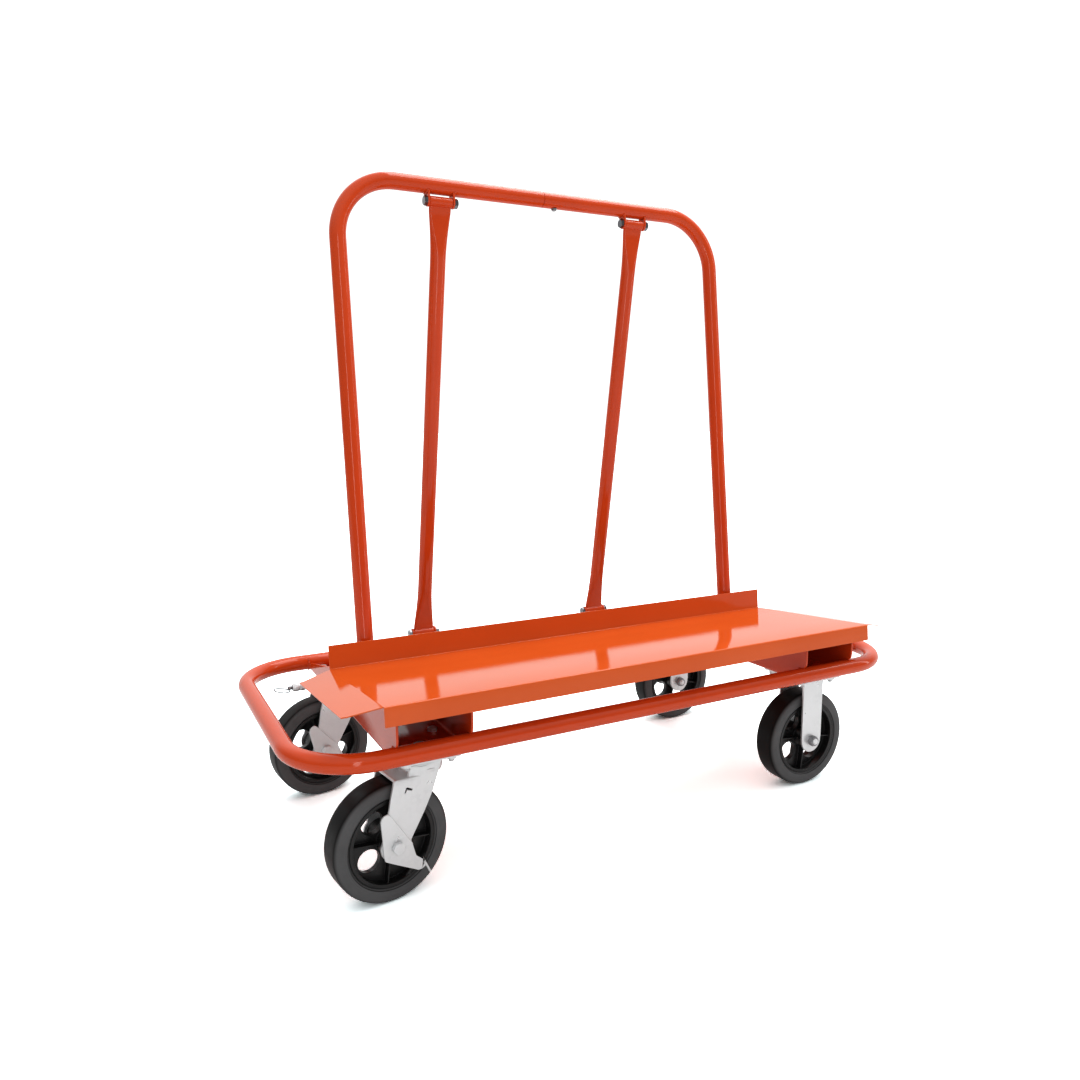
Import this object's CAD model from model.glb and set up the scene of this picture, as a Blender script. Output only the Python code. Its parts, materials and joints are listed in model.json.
"""Looks of the panel cart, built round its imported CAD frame. Metres, +Z up."""

import json
import math

import bmesh
import bpy
from mathutils import Matrix, Vector
from mathutils.geometry import delaunay_2d_cdt


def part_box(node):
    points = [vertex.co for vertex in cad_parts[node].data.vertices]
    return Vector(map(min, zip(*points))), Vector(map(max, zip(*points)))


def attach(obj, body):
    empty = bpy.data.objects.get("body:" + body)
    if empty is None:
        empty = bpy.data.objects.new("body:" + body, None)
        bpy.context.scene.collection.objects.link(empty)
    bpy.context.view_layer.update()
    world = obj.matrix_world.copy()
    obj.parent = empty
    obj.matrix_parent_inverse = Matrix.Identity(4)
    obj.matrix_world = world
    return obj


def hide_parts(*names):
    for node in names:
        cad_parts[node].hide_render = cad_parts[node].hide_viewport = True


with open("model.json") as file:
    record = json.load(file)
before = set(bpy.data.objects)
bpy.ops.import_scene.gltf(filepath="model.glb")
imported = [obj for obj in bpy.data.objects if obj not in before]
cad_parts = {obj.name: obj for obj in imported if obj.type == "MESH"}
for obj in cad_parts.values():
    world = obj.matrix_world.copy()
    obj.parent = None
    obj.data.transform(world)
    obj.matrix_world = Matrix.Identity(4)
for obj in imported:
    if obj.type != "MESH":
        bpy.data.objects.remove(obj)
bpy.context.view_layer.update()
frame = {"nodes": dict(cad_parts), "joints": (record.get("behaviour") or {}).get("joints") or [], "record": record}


# ---------- camera, floor and light ----------

CAMERA_PLACE = Vector((-0.8836, -1.5119, 0.7906))
CAMERA_YAW = math.radians(28.0)
CAMERA_PITCH = math.radians(-8.5)
CAMERA_ROLL = math.radians(-0.3)
SENSOR_MM = 36.0
LENS_MM = 28.2933


def add_camera():
    data = bpy.data.cameras.new("camera")
    data.sensor_width = SENSOR_MM
    data.lens = LENS_MM
    data.clip_start, data.clip_end = 0.05, 100.0
    cam = bpy.data.objects.new("camera", data)
    bpy.context.scene.collection.objects.link(cam)
    level = math.cos(CAMERA_PITCH)
    ahead = Vector((math.sin(CAMERA_YAW) * level, math.cos(CAMERA_YAW) * level, math.sin(CAMERA_PITCH)))
    side = Vector((math.cos(CAMERA_YAW), -math.sin(CAMERA_YAW), 0.0))
    up = side.cross(ahead)
    right = side * math.cos(CAMERA_ROLL) + up * math.sin(CAMERA_ROLL)
    top = up * math.cos(CAMERA_ROLL) - side * math.sin(CAMERA_ROLL)
    turn = Matrix((right, top, -ahead)).transposed()
    cam.matrix_world = Matrix.Translation(CAMERA_PLACE) @ turn.to_4x4()
    bpy.context.scene.camera = cam


def add_area(name, place, aim, size, power):
    """A softbox that the camera does not see."""
    data = bpy.data.lights.new(name, "AREA")
    data.shape = "RECTANGLE"
    data.size, data.size_y = size
    data.energy = power
    lamp = bpy.data.objects.new(name, data)
    bpy.context.scene.collection.objects.link(lamp)
    lamp.location = place
    lamp.rotation_mode = "QUATERNION"
    lamp.rotation_quaternion = (Vector(aim) - Vector(place)).to_track_quat("-Z", "Y")
    lamp.visible_camera = False


def add_stage_object(name, bm, mat):
    """Turns a bmesh into an object that belongs to the studio and not to the cart."""
    mesh = bpy.data.meshes.new(name)
    bm.to_mesh(mesh)
    bm.free()
    obj = bpy.data.objects.new(name, mesh)
    bpy.context.scene.collection.objects.link(obj)
    mesh.materials.append(mat)
    return obj


def disc(radius, level):
    bm = bmesh.new()
    place = Matrix.Translation((0, 0, level))
    bmesh.ops.create_circle(bm, cap_ends=True, segments=96, radius=radius, matrix=place)
    return bm


def hide_from_light(obj):
    """Leaves a stage object to the camera alone: it takes no part in the lighting."""
    obj.visible_diffuse = False
    obj.visible_glossy = False
    obj.visible_transmission = False
    obj.visible_shadow = False


# brightness of the sky against height, from the horizon to straight up
SKY_MARKS = ((0.0, 0.26), (0.10, 0.24), (0.35, 0.38), (0.62, 0.84), (1.0, 1.02))
# the backdrop: the way it lies, and how bright its middle is
BACKDROP_WAY = (0.469, 0.883, 0.0)
BACKDROP_GLOW = 0.62


def add_world():
    """A softbox sky that is brightest overhead, with a glow from the backdrop."""
    world = bpy.data.worlds.new("studio")
    world.use_nodes = True
    tree = world.node_tree
    shade = tree.nodes["Background"]
    coord = tree.nodes.new("ShaderNodeTexCoord")
    split = tree.nodes.new("ShaderNodeSeparateXYZ")
    ramp = tree.nodes.new("ShaderNodeValToRGB")
    tree.links.new(coord.outputs["Generated"], split.inputs["Vector"])
    tree.links.new(split.outputs["Z"], ramp.inputs["Fac"])
    backdrop = tree.nodes.new("ShaderNodeVectorMath")
    backdrop.operation = "DOT_PRODUCT"
    backdrop.inputs[1].default_value = BACKDROP_WAY
    tree.links.new(coord.outputs["Generated"], backdrop.inputs[0])
    glow = tree.nodes.new("ShaderNodeMapRange")
    glow.interpolation_type = "SMOOTHSTEP"
    for key, number in (("From Min", 0.1), ("From Max", 0.8), ("To Min", 0.0), ("To Max", BACKDROP_GLOW)):
        glow.inputs[key].default_value = number
    tree.links.new(backdrop.outputs["Value"], glow.inputs["Value"])
    light = tree.nodes.new("ShaderNodeMix")
    light.data_type = "RGBA"
    light.blend_type = "ADD"
    light.inputs["Factor"].default_value = 1.0
    tree.links.new(ramp.outputs["Color"], light.inputs["A"])
    tree.links.new(glow.outputs["Result"], light.inputs["B"])
    tree.links.new(light.outputs["Result"], shade.inputs["Color"])
    while len(ramp.color_ramp.elements) < len(SKY_MARKS):
        ramp.color_ramp.elements.new(0.5)
    for mark, (place, level) in zip(ramp.color_ramp.elements, SKY_MARKS):
        mark.position = place
        mark.color = (level, level, level, 1.0)
    shade.inputs["Strength"].default_value = 1.0
    bpy.context.scene.world = world


FLOOR_RADIUS = 34.0
FLOOR_WHITE = (1.72, 1.87, 1.89, 1.0)
BOUNCE_GREY = (0.66, 0.66, 0.66, 1.0)
BOUNCE_GLOW = 0.10
BOUNCE_LEVEL = -0.0006
SURROUND_RADIUS = 35.0
SURROUND_GLOW = 1.05


def add_seen_floor():
    """The floor that the camera sees: overexposed white, dark only where wheels touch it."""
    mat = bpy.data.materials.new("floor_pale")
    mat.use_nodes = True
    tree = mat.node_tree
    matt = tree.nodes.new("ShaderNodeBsdfDiffuse")
    matt.inputs["Color"].default_value = FLOOR_WHITE
    tree.links.new(matt.outputs["BSDF"], tree.nodes["Material Output"].inputs["Surface"])
    hide_from_light(add_stage_object("floor", disc(FLOOR_RADIUS, 0.0), mat))


def add_bounce_floor():
    """The floor that the object sees: plain pale, a little lit."""
    mat = bpy.data.materials.new("floor_bounce")
    mat.use_nodes = True
    bsdf = mat.node_tree.nodes["Principled BSDF"]
    bsdf.inputs["Base Color"].default_value = BOUNCE_GREY
    bsdf.inputs["Roughness"].default_value = 0.9
    bsdf.inputs["Specular IOR Level"].default_value = 0.1
    bsdf.inputs["Emission Color"].default_value = (1.0, 1.0, 1.0, 1.0)
    bsdf.inputs["Emission Strength"].default_value = BOUNCE_GLOW
    mat.cycles.emission_sampling = "NONE"
    bounce = add_stage_object("floor_bounce", disc(FLOOR_RADIUS, BOUNCE_LEVEL), mat)
    bounce.visible_camera = False


def add_surround():
    """A white shell behind everything, seen by the camera alone."""
    bm = bmesh.new()
    bmesh.ops.create_uvsphere(bm, u_segments=48, v_segments=24, radius=SURROUND_RADIUS)
    mat = bpy.data.materials.new("surround_white")
    mat.use_nodes = True
    mat.cycles.emission_sampling = "NONE"
    tree = mat.node_tree
    glow = tree.nodes.new("ShaderNodeEmission")
    glow.inputs["Strength"].default_value = SURROUND_GLOW
    tree.links.new(glow.outputs["Emission"], tree.nodes["Material Output"].inputs["Surface"])
    hide_from_light(add_stage_object("surround", bm, mat))


def add_studio():
    scene = bpy.context.scene
    scene.view_settings.view_transform = "Standard"
    scene.view_settings.look = "Medium High Contrast"
    add_world()
    add_seen_floor()
    add_bounce_floor()
    add_surround()
    add_area("overhead", (1.1, 0.1, 3.4), (0.2, 0, 0.3), (2.6, 1.8), 58)
    add_area("front", (-1.45, -3.0, 1.3), (0, 0, 0.7), (0.50, 2.4), 12)
    add_area("strip_right", (3.1, -1.5, 1.5), (0, 0, 0.7), (0.35, 2.4), 8)


# ---------- materials ----------

class Shader:
    """A node material under construction, with object coordinates in metres."""

    def __init__(self, name):
        self.mat = bpy.data.materials.new(name)
        self.mat.use_nodes = True
        self.tree = self.mat.node_tree
        self.bsdf = self.tree.nodes["Principled BSDF"]
        self.coord = self.tree.nodes.new("ShaderNodeTexCoord").outputs["Object"]

    def link(self, out, into):
        self.tree.links.new(out, into)

    def set(self, **values):
        for key, value in values.items():
            self.bsdf.inputs[key.replace("_", " ")].default_value = value

    def mapped(self, scale):
        node = self.tree.nodes.new("ShaderNodeMapping")
        node.inputs["Scale"].default_value = scale
        self.link(self.coord, node.inputs["Vector"])
        return node.outputs["Vector"]

    def noise(self, scale, detail=3.0, rough=0.55, stretch=(1, 1, 1)):
        node = self.tree.nodes.new("ShaderNodeTexNoise")
        node.inputs["Scale"].default_value = scale
        node.inputs["Detail"].default_value = detail
        node.inputs["Roughness"].default_value = rough
        self.link(self.mapped(stretch), node.inputs["Vector"])
        return node.outputs["Fac"]

    def cells(self, scale):
        node = self.tree.nodes.new("ShaderNodeTexVoronoi")
        node.inputs["Scale"].default_value = scale
        self.link(self.coord, node.inputs["Vector"])
        return node.outputs["Color"]

    def remap(self, value, lo, hi, out_lo, out_hi):
        node = self.tree.nodes.new("ShaderNodeMapRange")
        for key, number in (("From Min", lo), ("From Max", hi), ("To Min", out_lo), ("To Max", out_hi)):
            node.inputs[key].default_value = number
        self.link(value, node.inputs["Value"])
        return node.outputs["Result"]

    def blend(self, factor, a, b):
        node = self.tree.nodes.new("ShaderNodeMix")
        node.data_type = "RGBA"
        self.link(factor, node.inputs["Factor"])
        for colour, socket in ((a, node.inputs["A"]), (b, node.inputs["B"])):
            if isinstance(colour, tuple):
                socket.default_value = (*colour, 1.0)
            else:
                self.link(colour, socket)
        return node.outputs["Result"]

    def calc(self, operation, *values):
        node = self.tree.nodes.new("ShaderNodeMath")
        node.operation = operation
        for value, socket in zip(values, node.inputs):
            self.link(value, socket)
        return node.outputs["Value"]

    def bump(self, height, distance, strength, before=None):
        node = self.tree.nodes.new("ShaderNodeBump")
        node.inputs["Distance"].default_value = distance
        node.inputs["Strength"].default_value = strength
        self.link(height, node.inputs["Height"])
        if before is not None:
            self.link(before, node.inputs["Normal"])
        return node.outputs["Normal"]

    def finish(self, colour, rough, normal):
        self.link(colour, self.bsdf.inputs["Base Color"])
        self.link(rough, self.bsdf.inputs["Roughness"])
        self.link(normal, self.bsdf.inputs["Normal"])
        return self.mat


def coat(name, base, deep, rough):
    """Gloss powder coat: faint shade drift, orange peel, fine handling marks."""
    s = Shader(name)
    s.set(IOR=1.42)
    drift = s.remap(s.noise(5.0, 2.0), 0.35, 0.65, 0.0, 1.0)
    marks = s.remap(s.noise(420.0, 4.0, 0.6, (0.06, 1.0, 1.0)), 0.66, 0.78, 0.0, 1.0)
    gloss = s.remap(s.noise(38.0, 4.0), 0.3, 0.7, rough[0], rough[1])
    worn = s.remap(marks, 0.0, 1.0, 0.0, 0.10)
    wave = s.bump(s.noise(6.0, 1.0), 0.0009, 0.25)
    peel = s.bump(s.noise(520.0, 2.0, 0.5), 0.00012, 0.35, wave)
    return s.finish(s.blend(drift, base, deep), s.calc("ADD", gloss, worn), peel)


def plated(name, base, deep, rough, metallic=1.0):
    """Zinc or steel plate: mottled crystals, draw lines and small dull spots."""
    s = Shader(name)
    s.set(Metallic=metallic, IOR=1.5)
    crystal = s.remap(s.cells(160.0), 0.0, 1.0, 0.0, 1.0)
    cloud = s.remap(s.noise(24.0, 4.0), 0.3, 0.7, 0.0, 1.0)
    colour = s.blend(s.calc("MULTIPLY", crystal, cloud), base, deep)
    gloss = s.remap(s.noise(60.0, 5.0), 0.3, 0.7, rough[0], rough[1])
    lines = s.bump(s.noise(900.0, 3.0, 0.6, (1.0, 1.0, 0.08)), 0.00008, 0.5)
    grain = s.bump(s.noise(260.0, 4.0), 0.0001, 0.35, lines)
    return s.finish(colour, gloss, grain)


def rubber():
    """Moulded tyre rubber: black tread, a paler bloom on the sidewalls, a fine grain."""
    s = Shader("tyre_rubber")
    s.set(IOR=1.24)
    bloom = s.remap(s.noise(14.0, 4.0), 0.3, 0.72, 0.0, 1.0)
    tread = s.blend(bloom, (0.006, 0.006, 0.006), (0.012, 0.012, 0.012))
    sidewall = s.blend(bloom, (0.088, 0.088, 0.089), (0.114, 0.114, 0.116))
    split = s.tree.nodes.new("ShaderNodeSeparateXYZ")
    s.link(s.tree.nodes.new("ShaderNodeTexCoord").outputs["Normal"], split.inputs["Vector"])
    facing = s.remap(s.calc("ABSOLUTE", split.outputs["Y"]), 0.45, 0.95, 0.0, 1.0)
    gloss = s.remap(s.noise(45.0, 4.0), 0.3, 0.7, 0.30, 0.44)
    flow = s.bump(s.noise(120.0, 3.0), 0.0003, 0.25)
    grain = s.bump(s.noise(1500.0, 2.0), 0.0001, 0.3, flow)
    return s.finish(s.blend(facing, tread, sidewall), gloss, grain)


def plastic():
    """Black moulded wheel core: satin with a light spark-eroded texture."""
    s = Shader("wheel_core")
    s.set(IOR=1.49)
    cloud = s.remap(s.noise(30.0, 3.0), 0.3, 0.7, 0.0, 1.0)
    colour = s.blend(cloud, (0.007, 0.007, 0.007), (0.014, 0.014, 0.014))
    gloss = s.remap(s.noise(70.0, 4.0), 0.3, 0.7, 0.26, 0.42)
    grain = s.bump(s.noise(1100.0, 2.0), 0.00012, 0.35)
    return s.finish(colour, gloss, grain)


def make_materials():
    zinc = ((0.70, 0.71, 0.715), (0.64, 0.65, 0.655))
    dark = ((0.30, 0.30, 0.31), (0.20, 0.20, 0.21))
    bright = ((0.22, 0.22, 0.23), (0.16, 0.16, 0.17))
    bearing = ((0.50, 0.50, 0.51), (0.36, 0.36, 0.37))
    return {
        "deck_coat": coat("deck_coat", (0.62, 0.106, 0.019), (0.59, 0.098, 0.016), (0.03, 0.055)),
        "frame_coat": coat("frame_coat", (0.58, 0.066, 0.012), (0.54, 0.060, 0.011), (0.06, 0.10)),
        "zinc_plate": plated("zinc_plate", *zinc, (0.27, 0.36), 0.6),
        "dark_steel": plated("dark_steel", *dark, (0.30, 0.48)),
        "bright_steel": plated("bright_steel", *bright, (0.12, 0.24)),
        "tyre_rubber": rubber(),
        "wheel_core": plastic(),
        "bearing_steel": plated("bearing_steel", *bearing, (0.22, 0.36)),
    }


# ---------- pieces ----------

def add_piece(name, bm, slot, body, *nodes):
    """Turns a bmesh in metres into a shaded piece that stands for CAD nodes."""
    bmesh.ops.recalc_face_normals(bm, faces=bm.faces)
    for face in bm.faces:
        face.smooth = True
    mesh = bpy.data.meshes.new(name)
    bm.to_mesh(mesh)
    bm.free()
    obj = bpy.data.objects.new(name, mesh)
    bpy.context.scene.collection.objects.link(obj)
    mesh.materials.append(MATERIALS[slot])
    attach(obj, body)
    if nodes:
        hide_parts(*nodes)
    return obj


def add_bevel(obj, width, segments=2, angle=28):
    mod = obj.modifiers.new("edges", "BEVEL")
    mod.width = width
    mod.segments = segments
    mod.limit_method = "ANGLE"
    mod.angle_limit = math.radians(angle)
    mod.use_clamp_overlap = False
    mod.harden_normals = True


WELD_GAP = 0.00001
FLAT_WITHIN = math.radians(0.6)


def soften(node, width):
    """Rounds the edges of a carried-over CAD node."""
    obj = frame["nodes"][node]
    mesh = obj.data
    if "custom_normal" in mesh.attributes:
        mesh.attributes.remove(mesh.attributes["custom_normal"])
    for face in mesh.polygons:
        face.use_smooth = True
    weld = obj.modifiers.new("weld", "WELD")
    weld.merge_threshold = WELD_GAP
    flat = obj.modifiers.new("flats", "DECIMATE")
    flat.decimate_type = "DISSOLVE"
    flat.angle_limit = FLAT_WITHIN
    add_bevel(obj, width)


DECK_EDGE = Vector((0.0, -0.3203, 0.3545))
DECK_TILT = math.radians(5.1)


def deck_point(x, s, h):
    """A point of the deck: x along it, s from its front edge, h off its top."""
    return Vector((
        x,
        DECK_EDGE.y + s * math.cos(DECK_TILT) + h * math.sin(DECK_TILT),
        DECK_EDGE.z - s * math.sin(DECK_TILT) + h * math.cos(DECK_TILT),
    ))


def build_deck():
    """The folded sheet: both flanges, the bent-down ends and their bend radii."""
    half, depth, thick, fold_r = 0.517, 0.329, 0.002, 0.003
    front_h, back_h = 0.0323, 0.044
    wing_len, wing_r, drop = 0.0614, 0.006, 10.6
    inner_r = fold_r - thick
    back_face = depth - thick
    bm = bmesh.new()

    # across the deck: front flange, bend, flat top, bend, back flange
    profile = [(0.0, -front_h), (0.0, -0.018), (0.0, -fold_r)]
    profile += arc(fold_r, -fold_r, fold_r, 180, 90, 6)[1:]
    flat_from = len(profile) - 1
    profile += [(0.08, 0.0), (0.16, 0.0), (0.24, 0.0), (back_face - inner_r, 0.0)]
    flat_to = len(profile)
    profile += arc(back_face - inner_r, inner_r, inner_r, -90, 0, 6)[1:]
    profile += [(back_face, 0.022), (back_face, back_h)]

    stations = [-half, -0.34, -0.17, 0.0, 0.17, 0.34, half]
    grid = [[bm.verts.new(deck_point(x, s, h)) for s, h in profile] for x in stations]
    for a, b in zip(grid, grid[1:]):
        for i in range(len(profile) - 1):
            bm.faces.new((a[i], b[i], b[i + 1], a[i + 1]))

    # bent-down ends: a short arc, then a flat that tapers at both corners
    slope = math.tan(math.radians(drop))
    run = half + wing_len * math.cos(math.radians(drop))
    path = arc(half, -wing_r, wing_r, 90, 90 - drop, 4)[1:]
    start_x, start_h = path[-1]
    for u in (0.3, 0.6, 0.86):
        reach = (run - start_x) * u
        path.append((start_x + reach, start_h - reach * slope))
    taper_end, taper_front, taper_back = 0.867, 0.0182, 0.306
    tip_front, tip_back, tip_skew = 0.0247, 0.3005, 0.0008
    flat_s = [s for s, h in profile[flat_from:flat_to]]
    parts = [(s - flat_s[0]) / (flat_s[-1] - flat_s[0]) for s in flat_s]
    for side, column in ((-1, grid[0]), (1, grid[-1])):
        rows = []
        for x, h in path:
            u = min((x - half) / (run - half) / taper_end, 1.0)
            lo = fold_r + (taper_front - fold_r) * u
            hi = depth - fold_r + (taper_back - (depth - fold_r)) * u
            rows.append([(side * x, lo + (hi - lo) * k, h) for k in parts])
        # the outer edge is shorter still, which rounds both corners
        tip_h = -(run - half) * slope
        tip_s = [tip_front + (tip_back - tip_front) * k for k in parts]
        rows.append([(side * (run + tip_skew * k), s, tip_h) for k, s in zip(parts, tip_s)])
        previous = column[flat_from:flat_to]
        for row in rows:
            verts = [bm.verts.new(deck_point(*place)) for place in row]
            for i in range(len(verts) - 1):
                bm.faces.new((previous[i], verts[i], verts[i + 1], previous[i + 1]))
            previous = verts

    obj = add_piece("deck_sheet", bm, "deck_coat", "cart_frame", "deck")
    sheet = obj.modifiers.new("sheet", "SOLIDIFY")
    sheet.thickness = thick
    sheet.offset = -1.0
    sheet.use_even_offset = True
    add_bevel(obj, 0.0005, 2, 50)


def axes_to(along):
    """Rotation that turns local Z to a direction, keeping local Y level."""
    z = Vector(along).normalized()
    ref = Vector((0, 0, 1)) if abs(z.z) < 0.9 else Vector((1, 0, 0))
    y = z.cross(ref).normalized()
    x = y.cross(z)
    return Matrix(((x.x, y.x, z.x), (x.y, y.y, z.y), (x.z, y.z, z.z)))


def add_rings(bm, rings, close=False, cap_start=False, cap_end=False):
    """Skins a list of point rings."""
    made = [[bm.verts.new(p) for p in ring] for ring in rings]
    pairs = list(zip(made, made[1:])) + ([(made[-1], made[0])] if close else [])
    for low, high in pairs:
        for i in range(len(low)):
            j = (i + 1) % len(low)
            bm.faces.new((low[i], low[j], high[j], high[i]))
    if cap_start:
        bm.faces.new(list(reversed(made[0])))
    if cap_end:
        bm.faces.new(made[-1])


def circle(radius, level, count, spin=0.0):
    """Points of a level circle round the local Z axis, spin in radians."""
    angles = [2 * math.pi * k / count + spin for k in range(count)]
    return [Vector((radius * math.cos(a), radius * math.sin(a), level)) for a in angles]


def lathe(bm, origin, along, profile, segments=96, close=True, cap_start=False, cap_end=False):
    """Turns a (radius, height) profile in metres round an axis."""
    turn = axes_to(along)
    rings = [[origin + turn @ p for p in circle(radius, height, segments)] for radius, height in profile]
    add_rings(bm, rings, close, cap_start, cap_end)


def ease(u):
    """Smooth step: 0 up to u = 0, 1 from u = 1."""
    u = min(max(u, 0.0), 1.0)
    return u * u * (3 - 2 * u)


def arc(cx, cy, r, start, end, count):
    """Points of an arc, angles in degrees."""
    return [
        (cx + r * math.cos(math.radians(start + (end - start) * k / count)),
         cy + r * math.sin(math.radians(start + (end - start) * k / count)))
        for k in range(count + 1)
    ]


HEX_STEPS = 48
HEX_FACE = 0.95
HEX_CHAMFER = math.tan(math.radians(30))


def hexagon(bm, origin, along, flats, high, spin, bore=None):
    """A bolt head chamfered at its foot or, with a bore, a nut chamfered at both ends."""
    turn = axes_to(along)
    start = math.radians(spin)
    face = [flats / 2 * HEX_FACE] * HEX_STEPS
    turns = [360 * k / HEX_STEPS for k in range(HEX_STEPS)]
    corner = [flats / 2 / math.cos(math.radians((a + 30) % 60 - 30)) for a in turns]
    cut = [max(r - face[0], 0) * HEX_CHAMFER for r in corner]

    def ring(radii, levels):
        spokes = zip(circle(1.0, 0.0, HEX_STEPS, start), radii, levels)
        return [origin + turn @ Vector((p.x * r, p.y * r, z)) for p, r, z in spokes]

    rows = [ring(face, [0.0] * HEX_STEPS), ring(corner, cut)]
    if bore is None:
        rows.append(ring(corner, [high] * HEX_STEPS))
        add_rings(bm, rows, cap_start=True, cap_end=True)
        return
    rows += [ring(corner, [high - c for c in cut]), ring(face, [high] * HEX_STEPS)]
    edge = 0.0006
    for r, z in ((bore + edge, high), (bore, high - edge), (bore, edge), (bore + edge, 0.0)):
        rows.append([origin + turn @ p for p in circle(r, z, HEX_STEPS, start)])
    add_rings(bm, rows, close=True)


def thread_profile(r, start, end):
    """Outline of a threaded shank that ends in a chamfer."""
    pitch, root = 0.0015, 0.87
    points = [(r, start)]
    z = start + 0.0004
    while z < end - 0.0022:
        points += [(r, z), (r * root, z + pitch * 0.45), (r, z + pitch * 0.9)]
        z += pitch
    points += [(r * 0.9, end - 0.0009), (r * 0.72, end)]
    return points


def islands(node):
    """The separate solids of a CAD node, each as a list of points."""
    bm = bmesh.new()
    bm.from_mesh(frame["nodes"][node].data)
    bmesh.ops.remove_doubles(bm, verts=bm.verts, dist=0.00002)
    bm.verts.ensure_lookup_table()
    seen, found = set(), []
    for start in bm.verts:
        if start.index in seen:
            continue
        stack, group = [start], []
        seen.add(start.index)
        while stack:
            v = stack.pop()
            group.append(v.co.copy())
            for edge in v.link_edges:
                w = edge.other_vert(v)
                if w.index not in seen:
                    seen.add(w.index)
                    stack.append(w)
        found.append(group)
    bm.free()
    return found


def span(points, along):
    """Foot of a solid on its own axis, and its length along it."""
    turn = axes_to(along)
    back = turn.transposed()
    local = [back @ p for p in points]
    lo = Vector(tuple(min(p[i] for p in local) for i in range(3)))
    hi = Vector(tuple(max(p[i] for p in local) for i in range(3)))
    foot = turn @ Vector(((lo.x + hi.x) / 2, (lo.y + hi.y) / 2, lo.z))
    return foot, hi.z - lo.z


def crisp(obj, angle=24):
    """Keeps the edges that turn by more than an angle sharp."""
    obj.data.set_sharp_from_angle(angle=math.radians(angle))


# bolt sizes: radius of the shank, width across flats, height of the head
M8 = (0.004, 0.013, 0.0053)
M10 = (0.005, 0.016, 0.0064)
PIVOT = (0.005, 0.017, 0.0064)
AXLE = (0.00635, 0.019, 0.008)
KINGPIN = (0.00635, 0.019, 0.0045)


def build_bolts(node, name, slot, body, along, size, plain, spin=0.0):
    """Bolts in place of a CAD node: plain is the shank's length up to the thread."""
    r, flats, head = size
    bm = bmesh.new()
    for solid in islands(node):
        way = along(solid) if callable(along) else along
        foot, length = span(solid, way)
        hexagon(bm, foot, way, flats, head, spin)
        shank = [(r, head - 0.0005)] + thread_profile(r, head + plain, length)
        lathe(bm, foot, way, shank, 32, False, True, True)
    crisp(add_piece(name, bm, slot, body, node))


def build_nuts(node, name, slot, body, along, size, spin=0.0):
    """Nuts in place of a CAD node."""
    bore, flats, _ = size
    bm = bmesh.new()
    for solid in islands(node):
        way = along(solid) if callable(along) else along
        foot, length = span(solid, way)
        hexagon(bm, foot, way, flats, length, spin, bore)
    crisp(add_piece(name, bm, slot, body, node))


def inwards(solid):
    """Direction along X from a solid towards the middle of the cart."""
    return (-math.copysign(1.0, solid[0].x), 0, 0)


JOINTS = {joint["name"]: joint for joint in frame["joints"]}


def build_tyre(corner):
    """Moulded tread band: crowned tread, round shoulders, sidewall with mould rings."""
    spin = JOINTS["spin_" + corner]
    centre, along = Vector(spin["pos_m"]), Vector(spin["axis"])
    half = [(0.0760, 0.0214), (0.0767, 0.0226), (0.0784, 0.0230), (0.0790, 0.0238)]
    half += [(0.0793, 0.0246), (0.0802, 0.0251), (0.0818, 0.0253), (0.0826, 0.0254)]
    half += [(0.0832, 0.02515), (0.0838, 0.0254), (0.0870, 0.0254), (0.0900, 0.0252)]
    half += arc(0.0926, 0.0162, 0.0088, 78, 4, 12)
    half += [(0.1015, 0.0120), (0.1016, 0.0060)]
    profile = half + [(r, -w) for r, w in reversed(half)]
    bm = bmesh.new()
    lathe(bm, centre, along, profile, 168)
    add_piece("tyre_band_" + corner, bm, "tyre_rubber", "wheel_" + corner, "tyre_" + corner)


def build_brace(side):
    """Round tube whose ends are pressed flat and welded to the pivot sleeves."""
    name = "brace_left" if side < 0 else "brace_right"
    lo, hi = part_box(name)
    half = (hi.x - lo.x) / 2
    x = lo.x + half
    sleeve_r, bore = 0.010, 0.0051
    top = Vector((x, lo.y + sleeve_r, hi.z - sleeve_r))
    low = Vector((x, hi.y - sleeve_r, lo.z + sleeve_r))
    down = (low - top).normalized()
    across = Vector((1, 0, 0))
    out = across.cross(down).normalized()
    length = (low - top).length
    tube, flat_wide, flat_thick = 0.0318, 0.046, 0.0088
    flat_to, taper_to = 0.016, 0.112

    def section(d):
        """Width and thickness at a distance from the nearer pivot."""
        u = min(max((d - flat_to) / (taper_to - flat_to), 0.0), 1.0)
        thick = flat_thick + (tube - flat_thick) * ease(u)
        wide = flat_wide + (tube - flat_wide) * (u ** 1.25 * (2.25 - 1.25 * u))
        return max(wide, thick), thick

    ending = [0.0085, 0.012, flat_to] + [flat_to + (taper_to - flat_to) * k / 22 for k in range(1, 23)]
    stations = ending + [length * k / 6 for k in range(1, 6)] + [length - d for d in reversed(ending)]
    rings = []
    for d in stations:
        wide, thick = section(min(d, length - d))
        ring = []
        for k in range(48):
            a = math.radians(-90 + 180 * (k + 0.5) / 24)
            shift = (wide - thick) / 2 * (1 if k < 24 else -1)
            reach = across * (shift + thick / 2 * math.cos(a)) + out * (thick / 2 * math.sin(a))
            ring.append(top + down * d + reach)
        rings.append(ring)
    bm = bmesh.new()
    add_rings(bm, rings, cap_start=True, cap_end=True)
    start = [(bore, 0.0004), (0.0055, 0.0), (0.0092, 0.0), (sleeve_r, 0.0008)]
    sleeve = start + [(r, 2 * half - h) for r, h in reversed(start)]
    for pivot in (top, low):
        lathe(bm, pivot - across * half, across, sleeve, 48)
    crisp(add_piece(name + "_tube", bm, "frame_coat", "cart_frame", name), 40)


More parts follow.
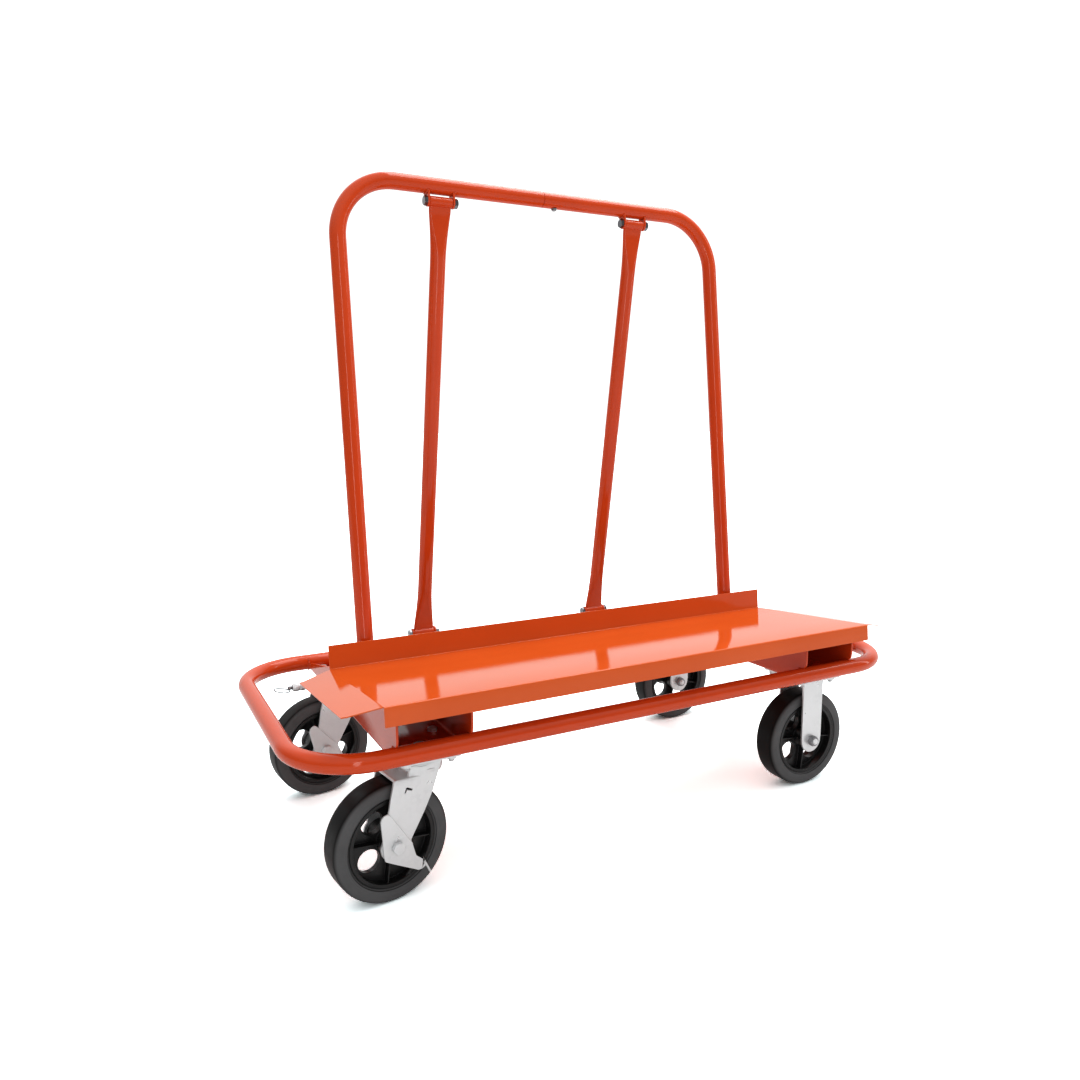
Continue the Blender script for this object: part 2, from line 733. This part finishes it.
def build_lock():
    """Sleeve of the swivel lock, with its two turned grooves."""
    lo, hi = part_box("lock_sleeve")
    foot = Vector((hi.x, (lo.y + hi.y) / 2, (lo.z + hi.z) / 2))
    long = hi.x - lo.x
    wide, edge, groove, bore = 0.0090, 0.0086, 0.0076, 0.0041
    outline = [(bore, 0.0), (edge, 0.0), (wide, 0.0005), (wide, 0.036), (edge, 0.0365)]
    outline += [(0.0078, 0.0369), (0.0078, 0.0385), (edge, 0.0389), (wide, 0.0394), (wide, 0.047)]
    outline += [(0.0084, 0.0477), (groove, 0.048), (groove, 0.0505), (0.0084, 0.0508), (wide, 0.0515)]
    outline += [(wide, 0.0585), (edge, 0.0595), (groove, long), (0.0046, long), (bore, long - 0.0006)]
    bm = bmesh.new()
    lathe(bm, foot, (-1, 0, 0), outline, 64)
    crisp(add_piece("lock_sleeve_turned", bm, "zinc_plate", "cart_frame", "lock_sleeve"), 30)


def fork_space(end):
    """Axes of a swivel caster: X = 0 on the kingpin, the wheel towards -X, Y along its axle."""
    king = JOINTS["swivel_" + end]["pos_m"]
    axle = Vector(JOINTS["spin_%s_left" % end]["axis"])
    up = Vector((0, 0, 1))
    turn = Matrix((axle.cross(up), axle, up)).transposed()
    return Matrix.Translation((king[0], king[1], 0.0)) @ turn.to_4x4()


def fork_crown(bm, space):
    """Pressed crown: a flat shelf over the wheel and the round cup under the race."""
    left, right, half_y = -0.065, 0.016, 0.0359
    cup_in, cup_out, king_r, count = 0.0290, 0.0352, 0.00643, 96

    def block(z, inset):
        """Outline of the shelf: a rectangle with small round corners."""
        mid, half_x = (left + right) / 2, (right - left) / 2 - inset
        points = []
        for p in circle(1.0, 0.0, count):
            r = ((abs(p.x) / half_x) ** 12 + (abs(p.y) / (half_y - inset)) ** 12) ** (-1 / 12)
            points.append(space @ Vector((mid + r * p.x, r * p.y, z)))
        return points

    rounding = ((0.2070, 0), (0.2092, 0), (0.2108, 0.0006), (0.2117, 0.0016), (0.2120, 0.0030))
    rings = [block(z, inset) for z, inset in rounding]
    rings += [[space @ p for p in circle(cup_in, z, count)] for z in (0.2120, 0.2070)]
    add_rings(bm, rings, close=True)
    outline = [(cup_in, 0.2075), (cup_out, 0.2075), (0.0370, 0.2128), (0.0370, 0.2165)]
    outline += [(0.0361, 0.2174), (cup_out, 0.2182), (cup_out, 0.2192), (0.0359, 0.2200)]
    outline += [(0.0359, 0.2262), (0.0355, 0.2272)]
    outline += arc(0.0325, 0.2285, 0.0030, 0, 90, 6)
    outline += [(0.0068, 0.2315), (king_r, 0.2311), (king_r, 0.2276)]
    outline += [(0.0250, 0.2276), (0.0282, 0.2262), (cup_in, 0.2235)]
    lathe(bm, space @ Vector((0, 0, 0)), (0, 0, 1), outline, count)


def within(x, z, loop):
    """True where a point lies inside a closed outline."""
    hit = False
    for (ax, az), (bx, bz) in zip(loop, loop[1:] + loop[:1]):
        if (az > z) != (bz > z) and x < ax + (z - az) * (bx - ax) / (bz - az):
            hit = not hit
    return hit


def fork_leg(bm, space, side):
    """Leg from the crown down round the axle: lanced tab, and a shallow dish under the crown."""
    hub_x, hub_z, hub_r = -0.065, 0.1016, 0.027
    inner, outer = 0.0312, 0.036
    edge = [(-0.037, 0.2275), (0.0212, 0.2275), (0.0110, 0.1995), (0.003, 0.178), (-0.013, 0.1475)]
    edge += arc(hub_x, hub_z, hub_r, 8.6, -222, 28)
    edge += [(-0.078, 0.155), (-0.0768, 0.160), (-0.076, 0.165), (-0.073, 0.182), (-0.0665, 0.2070)]
    edge += [(-0.0655, 0.2096), (-0.064, 0.2112), (-0.058, 0.2117), (-0.0425, 0.2105), (-0.0400, 0.2120)]
    tab = [(-0.0480, 0.1872), (-0.0462, 0.1868), (-0.0436, 0.1920), (-0.0349, 0.1882)]
    tab += [(-0.0336, 0.1905), (-0.0432, 0.1956), (-0.0450, 0.1950)]
    border = [Vector(p) for p in edge + tab]
    first = len(edge)
    ties = [(i, (i + 1) % first) for i in range(first)]
    ties += [(first + i, first + (i + 1) % len(tab)) for i in range(len(tab))]

    # inside points, so that the dish is a smooth hollow
    spots_x = [-0.0372 + 0.0035 * i for i in range(12)]
    spots_z = [0.1985 + 0.0032 * j for j in range(9)]
    clear = 0.0016
    points = list(border)
    for spot in [Vector((x, z)) for x in spots_x for z in spots_z]:
        if min((spot - p).length for p in border) > clear and within(spot.x, spot.y, edge):
            points.append(spot)
    flat, _, tris = delaunay_2d_cdt(points, ties, [], 0, 1e-7)[:3]
    kept = []
    for tri in tris:
        x, z = sum(flat[k].x for k in tri) / 3, sum(flat[k].y for k in tri) / 3
        if within(x, z, edge) and not within(x, z, tab):
            kept.append(tri)

    rim_x, rim_z, slope_x, slope_z, deep = -0.015, 0.201, 0.022, 0.018, 0.0032

    def dish(x, z):
        """Depth of the hollow, from nothing at its rim to its full depth."""
        return deep * ease((rim_x - x) / slope_x) * ease((z - rim_z) / slope_z)

    used = sorted({k for tri in kept for k in tri})
    skins = []
    for face_y in (inner, outer):
        skin = {}
        for k in used:
            x, z = flat[k]
            skin[k] = bm.verts.new(space @ Vector((x, side * (face_y - dish(x, z)), z)))
        skins.append(skin)
    walked = {(tri[i - 1], tri[i]) for tri in kept for i in range(3)}
    for tri in kept:
        bm.faces.new([skins[0][k] for k in tri])
        bm.faces.new([skins[1][k] for k in reversed(tri)])
    for a, b in sorted(walked):
        if (b, a) not in walked:
            bm.faces.new((skins[0][b], skins[0][a], skins[1][a], skins[1][b]))


def build_fork(end):
    """Pressed fork of a swivel caster: the crown and both legs."""
    space = fork_space(end)
    bm = bmesh.new()
    fork_crown(bm, space)
    for side in (-1, 1):
        fork_leg(bm, space, side)
    obj = add_piece("fork_pressed_" + end, bm, "zinc_plate", "fork_" + end, "swivel_fork_" + end)
    add_bevel(obj, 0.0008, 2, 40)


def build_race(end):
    """Upper race of the swivel bearing: a pressed cup with a rolled lower lip."""
    lo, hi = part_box("race_" + end)
    foot = Vector(((lo.x + hi.x) / 2, (lo.y + hi.y) / 2, lo.z))
    height = hi.z - lo.z
    outline = [(0.0070, 0.0006), (0.0240, 0.0006), (0.0300, 0.0004)]
    outline += arc(0.0318, 0.0016, 0.0014, -90, 90, 8)
    outline += [(0.0300, 0.0033), (0.0292, 0.0042), (0.0288, height - 0.0012)]
    outline += [(0.0280, height), (0.0070, height)]
    bm = bmesh.new()
    lathe(bm, foot, (0, 0, 1), outline, 96)
    crisp(add_piece("race_cup_" + end, bm, "zinc_plate", "cart_frame", "race_" + end), 35)


BEAD_R = 0.0024
BEAD_PITCH = 0.0045


def bead(bm, path, closed=False):
    """Weld bead along a path: overlapping ripples, thinner at both ends."""
    total, rings = 0.0, []
    for i, p in enumerate(path):
        before = path[i - 1] if (i or closed) else p
        after = path[(i + 1) % len(path)] if (i + 1 < len(path) or closed) else p
        turn = axes_to((after - before).normalized())
        if i:
            total += (p - path[i - 1]).length
        size = BEAD_R * (0.86 + 0.14 * math.sin(2 * math.pi * total / BEAD_PITCH))
        if not closed:
            size *= min(1.0, 0.45 + 0.3 * min(i, len(path) - 1 - i))
        rings.append([p + turn @ q for q in circle(size, 0.0, 10)])
    add_rings(bm, rings, close=closed, cap_start=not closed, cap_end=not closed)


def tube_arc(centre, x, r, start, end):
    """Path round a tube that lies along X, angles in degrees from +Y towards +Z."""
    step = 0.0011
    count = max(int(abs(math.radians(end - start)) * r / step), 4)
    return [Vector((x, y, z)) for y, z in arc(*centre, r, start, end, count)]


def build_welds():
    """Beads where ears, channels and post sockets are welded on."""
    tube_r, lean, lift = 0.0159, 6.3, 0.0006
    ear_reach, half_arc = 0.024, 46
    bm = bmesh.new()
    lo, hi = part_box("bumper_tube")
    front, back, level = lo.y + tube_r, hi.y - tube_r, (lo.z + hi.z) / 2
    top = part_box("upright_left")[1]
    brace_x = sum(v.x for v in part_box("brace_right")) / 2
    top_ears = ("brace_ears_top", (top.y - tube_r, top.z - tube_r), 270 - lean)
    bottom_ears = ("brace_ears_bottom", (back, level), 90)
    for node, centre, way in (top_ears, bottom_ears):
        for solid in islands(node):
            x = [p.x for p in solid]
            reach_x = math.copysign(brace_x, x[0]) + ear_reach
            outer = max(x) if max(x) > reach_x else min(x)
            bead(bm, tube_arc(centre, outer, tube_r + lift, way - half_arc, way + half_arc))
    for node in ("channel_left", "channel_right"):
        lo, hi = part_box(node)
        for x in (lo.x, hi.x):
            bead(bm, tube_arc((front, level), x, tube_r + lift, 66, -62))
            bead(bm, tube_arc((back, level), x, tube_r + lift, 136, 242))
    for node in ("post_socket_left", "post_socket_right"):
        lo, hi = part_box(node)
        r = (hi.x - lo.x) / 2
        foot = Vector((lo.x + r, lo.y + r, 0.0))
        bead(bm, [foot + p for p in circle(r + 0.0008, lo.z + 0.0012, 120)], closed=True)
    add_piece("weld_beads", bm, "frame_coat", "cart_frame")


# ---------- the scene ----------

MATERIALS = make_materials()
add_camera()
add_studio()

SLOTS = {item["node"]: item["material_slot"] for item in frame["record"]["subparts"]}
for node, obj in frame["nodes"].items():
    obj.data.materials.clear()
    obj.data.materials.append(MATERIALS[SLOTS[node]])

# how far the edges of the CAD nodes that stay are rounded, by the start of their names
SOFTEN = {
    "channel_": 0.0006, "post_socket": 0.0008, "brace_ears": 0.0008,
    "plate_front": 0.0008, "plate_rear": 0.0008, "rigid_fork": 0.0010, "brake": 0.0008,
    "core": 0.0012, "lock_pin": 0.0004, "bearing": 0.0004, "splice_screw": 0.0004,
}
for node in frame["nodes"]:
    for start, width in SOFTEN.items():
        if node.startswith(start):
            soften(node, width)

build_deck()
for corner in ("front_left", "rear_left", "front_right", "rear_right"):
    build_tyre(corner)
for side in (-1, 1):
    build_brace(side)
build_lock()
for end in ("front", "rear"):
    build_fork(end)
    build_race(end)
build_welds()

RIGHT, FORWARD, UP, DOWN = (1, 0, 0), (0, -1, 0), (0, 0, 1), (0, 0, -1)
CART = "cart_frame"
# degrees that bring a hexagon's corner to where its flat was
HALF_SIDE = 30
build_bolts("post_bolts", "post_bolt_set", "zinc_plate", CART, inwards, M8, 0.028, HALF_SIDE)
build_nuts("post_nuts", "post_nut_set", "zinc_plate", CART, inwards, M8, HALF_SIDE)
build_bolts("plate_bolts", "plate_bolt_set", "zinc_plate", CART, DOWN, M10, 0.012, HALF_SIDE)
build_nuts("plate_nuts", "plate_nut_set", "zinc_plate", CART, UP, M10, HALF_SIDE)
build_bolts("brace_bolts", "brace_bolt_set", "bright_steel", CART, RIGHT, PIVOT, 0.050, HALF_SIDE)
build_nuts("brace_nuts", "brace_nut_set", "bright_steel", CART, RIGHT, PIVOT, HALF_SIDE)
build_bolts("rigid_axles", "rigid_axle_set", "zinc_plate", CART, FORWARD, AXLE, 0.066)
build_nuts("rigid_axle_nuts", "rigid_axle_nut_set", "dark_steel", CART, FORWARD, AXLE)
build_bolts("kingpins", "kingpin_set", "dark_steel", CART, DOWN, KINGPIN, 0.014, HALF_SIDE)
build_nuts("kingpin_nuts", "kingpin_nut_set", "dark_steel", CART, UP, KINGPIN, HALF_SIDE)
for end in ("front", "rear"):
    fork = "fork_" + end
    axle = Vector(JOINTS["spin_%s_left" % end]["axis"])
    build_bolts("swivel_axle_" + end, "swivel_axle_bolt_" + end, "zinc_plate", fork, axle, AXLE, 0.066)
    build_nuts("swivel_nut_" + end, "swivel_axle_nut_" + end, "zinc_plate", fork, axle, AXLE)
